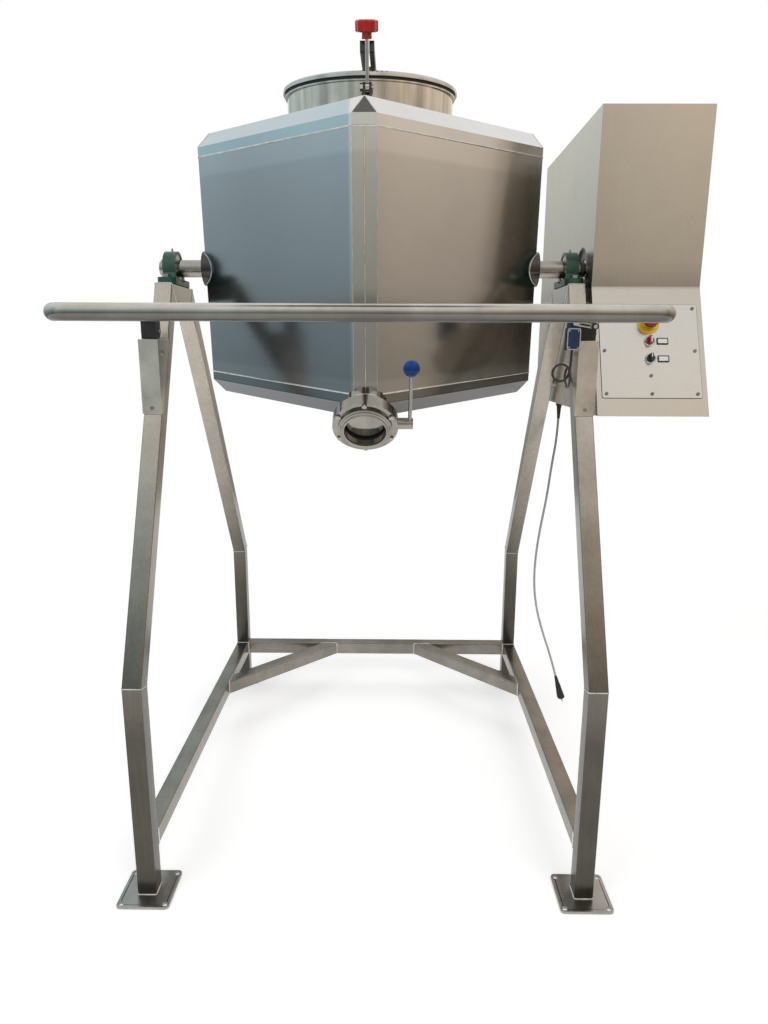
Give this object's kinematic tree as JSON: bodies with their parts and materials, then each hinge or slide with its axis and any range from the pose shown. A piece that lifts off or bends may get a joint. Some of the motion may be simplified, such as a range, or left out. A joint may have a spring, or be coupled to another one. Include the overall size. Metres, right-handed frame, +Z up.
{
  "type": "cube powder mixer",
  "caption": "Tumbling cube mixer for powders: a square drum turning end over end between tube frames, with a lidded inlet, flap outlet, guard bar and cabinet drive.",
  "frame": {"origin": "middle of the machine's outline at floor level, without its supply cord", "axes": "+X along the shaft towards the drive cabinet, +Y to the rear, +Z up"},
  "size_m": [1.576, 1.6878, 2.2093],
  "materials": {
    "stainless": "satin 2B stainless sheet and tube",
    "polished_stainless": "polished stainless",
    "shaft_steel": "turned bright steel",
    "green_casting": "dark green painted casting",
    "bearing_steel": "ground steel",
    "zinc_bolt": "zinc-plated fastener",
    "dark_steel": "dark satin steel",
    "black_rubber": "matt black rubber",
    "red_plastic": "glossy red plastic",
    "blue_plastic": "glossy blue plastic",
    "yellow_plastic": "yellow plastic",
    "black_plastic": "black plastic",
    "switch_blue": "blue painted die-casting",
    "chrome_ring": "chromed bezel",
    "gearbox_grey": "grey painted aluminium",
    "motor_grey": "dark grey painted aluminium",
    "grey_pvc": "light grey cord sheath",
    "black_pvc": "black cord sheath"
  },
  "bodies": {
    "stand": {"lower_legs": "stainless", "front_struts": "stainless", "bearing_beams": "stainless", "rear_struts": "stainless", "side_rails": "stainless", "corner_braces": "stainless", "rear_crossbar": "stainless", "foot_plates": "stainless", "bearing_housings": "green_casting", "bearing_outer_rings": "bearing_steel", "bearing_bolts": "zinc_bolt", "drive_cover": "stainless", "cover_rear_panel": "stainless", "mounting_plate": "stainless", "cover_bosses": "zinc_bolt", "gearbox": "gearbox_grey", "motor": "motor_grey", "control_panel": "stainless", "panel_screws": "zinc_bolt", "stop_collar": "yellow_plastic", "selector_bezels": "chrome_ring", "contact_blocks": "black_plastic", "guard_posts": "black_plastic", "guard_channels": "stainless", "channel_bolts": "zinc_bolt", "limit_switch": "switch_blue", "switch_cable": "black_pvc", "cord_gland": "black_plastic", "power_cord": "grey_pvc", "power_plug": "black_rubber"},
    "drum": {"drum_top_cap": "stainless", "drum_bottom_cap": "stainless", "drum_side_panels": "stainless", "drum_shafts": "shaft_steel", "bearing_inner_rings": "bearing_steel", "gearbox_output_sleeve": "shaft_steel", "inlet_neck": "stainless", "lid_hinge_bracket": "dark_steel", "clamp_bracket": "dark_steel", "bracket_pins": "shaft_steel", "outlet_stub": "stainless", "valve_body": "polished_stainless", "valve_seal": "black_rubber", "valve_bolts": "zinc_bolt"},
    "lid": {"lid": "stainless", "lid_gasket": "black_rubber", "lid_yoke": "dark_steel"},
    "clamp_bolt": {"swing_bolt": "shaft_steel"},
    "clamp_knob": {"star_knob": "red_plastic"},
    "valve_flap": {"valve_disc": "polished_stainless", "valve_lever": "polished_stainless", "lever_ball": "blue_plastic"},
    "guard": {"guard_bar": "stainless", "guard_hinge_heads": "black_plastic", "guard_pivot_bolts": "zinc_bolt"},
    "switch_arm": {"switch_lever": "shaft_steel"},
    "arm_roller": {"switch_roller": "black_plastic"},
    "stop": {"stop_button": "red_plastic"},
    "selector_upper": {"selector_knob_upper": "red_plastic"},
    "selector_lower": {"selector_knob_lower": "black_plastic"}
  },
  "joints": [
    {"name": "drum_turn", "type": "hinge", "parent": "stand", "child": "drum", "pos_m": [-0.133, 0.01392, 1.6702], "axis": [1, 0, 0], "continuous": true},
    {"name": "lid_swing", "type": "hinge", "parent": "drum", "child": "lid", "pos_m": [-0.133, 0.22648, 2.19629], "axis": [-1, 0, 0], "range_deg": [0, 100]},
    {"name": "clamp_bolt_swing", "type": "hinge", "parent": "drum", "child": "clamp_bolt", "pos_m": [-0.133, -0.27511, 2.06361], "axis": [1, 0, 0], "range_deg": [-15, 75]},
    {"name": "clamp_knob_turn", "type": "hinge", "parent": "clamp_bolt", "child": "clamp_knob", "pos_m": [-0.133, -0.27511, 2.06361], "axis": [0, -0.3502, 0.9367], "continuous": true},
    {"name": "valve_turn", "type": "hinge", "parent": "drum", "child": "valve_flap", "pos_m": [-0.133, -0.45869, 1.26276], "axis": [1, 0, 0], "range_deg": [0, 90]},
    {"name": "guard_lift", "type": "hinge", "parent": "stand", "child": "guard", "pos_m": [-0.133, -0.2279, 1.484], "axis": [-1, 0, 0], "range_deg": [0, 50]},
    {"name": "switch_lever_swing", "type": "hinge", "parent": "stand", "child": "switch_arm", "pos_m": [0.4075, -0.2809, 1.507], "axis": [0, -1, 0], "range_deg": [0, 30]},
    {"name": "roller_spin", "type": "hinge", "parent": "switch_arm", "child": "arm_roller", "pos_m": [0.45782, -0.2862, 1.4987], "axis": [0, 1, 0], "continuous": true},
    {"name": "stop_press", "type": "slide", "parent": "stand", "child": "stop", "axis": [0, 0.9236, -0.3833], "range_m": [0, 0.006], "stiffness_N_per_m": 600},
    {"name": "selector_upper_turn", "type": "hinge", "parent": "stand", "child": "selector_upper", "pos_m": [0.6375, -0.17798, 1.46283], "axis": [0, -0.9236, 0.3833], "range_deg": [-45, 45]},
    {"name": "selector_lower_turn", "type": "hinge", "parent": "stand", "child": "selector_lower", "pos_m": [0.6375, -0.19753, 1.41573], "axis": [0, -0.9236, 0.3833], "range_deg": [-45, 45]}
  ],
  "couplings": [
    {"joint": "switch_lever_swing", "follows": "guard_lift", "ratio": 0.6}
  ]
}
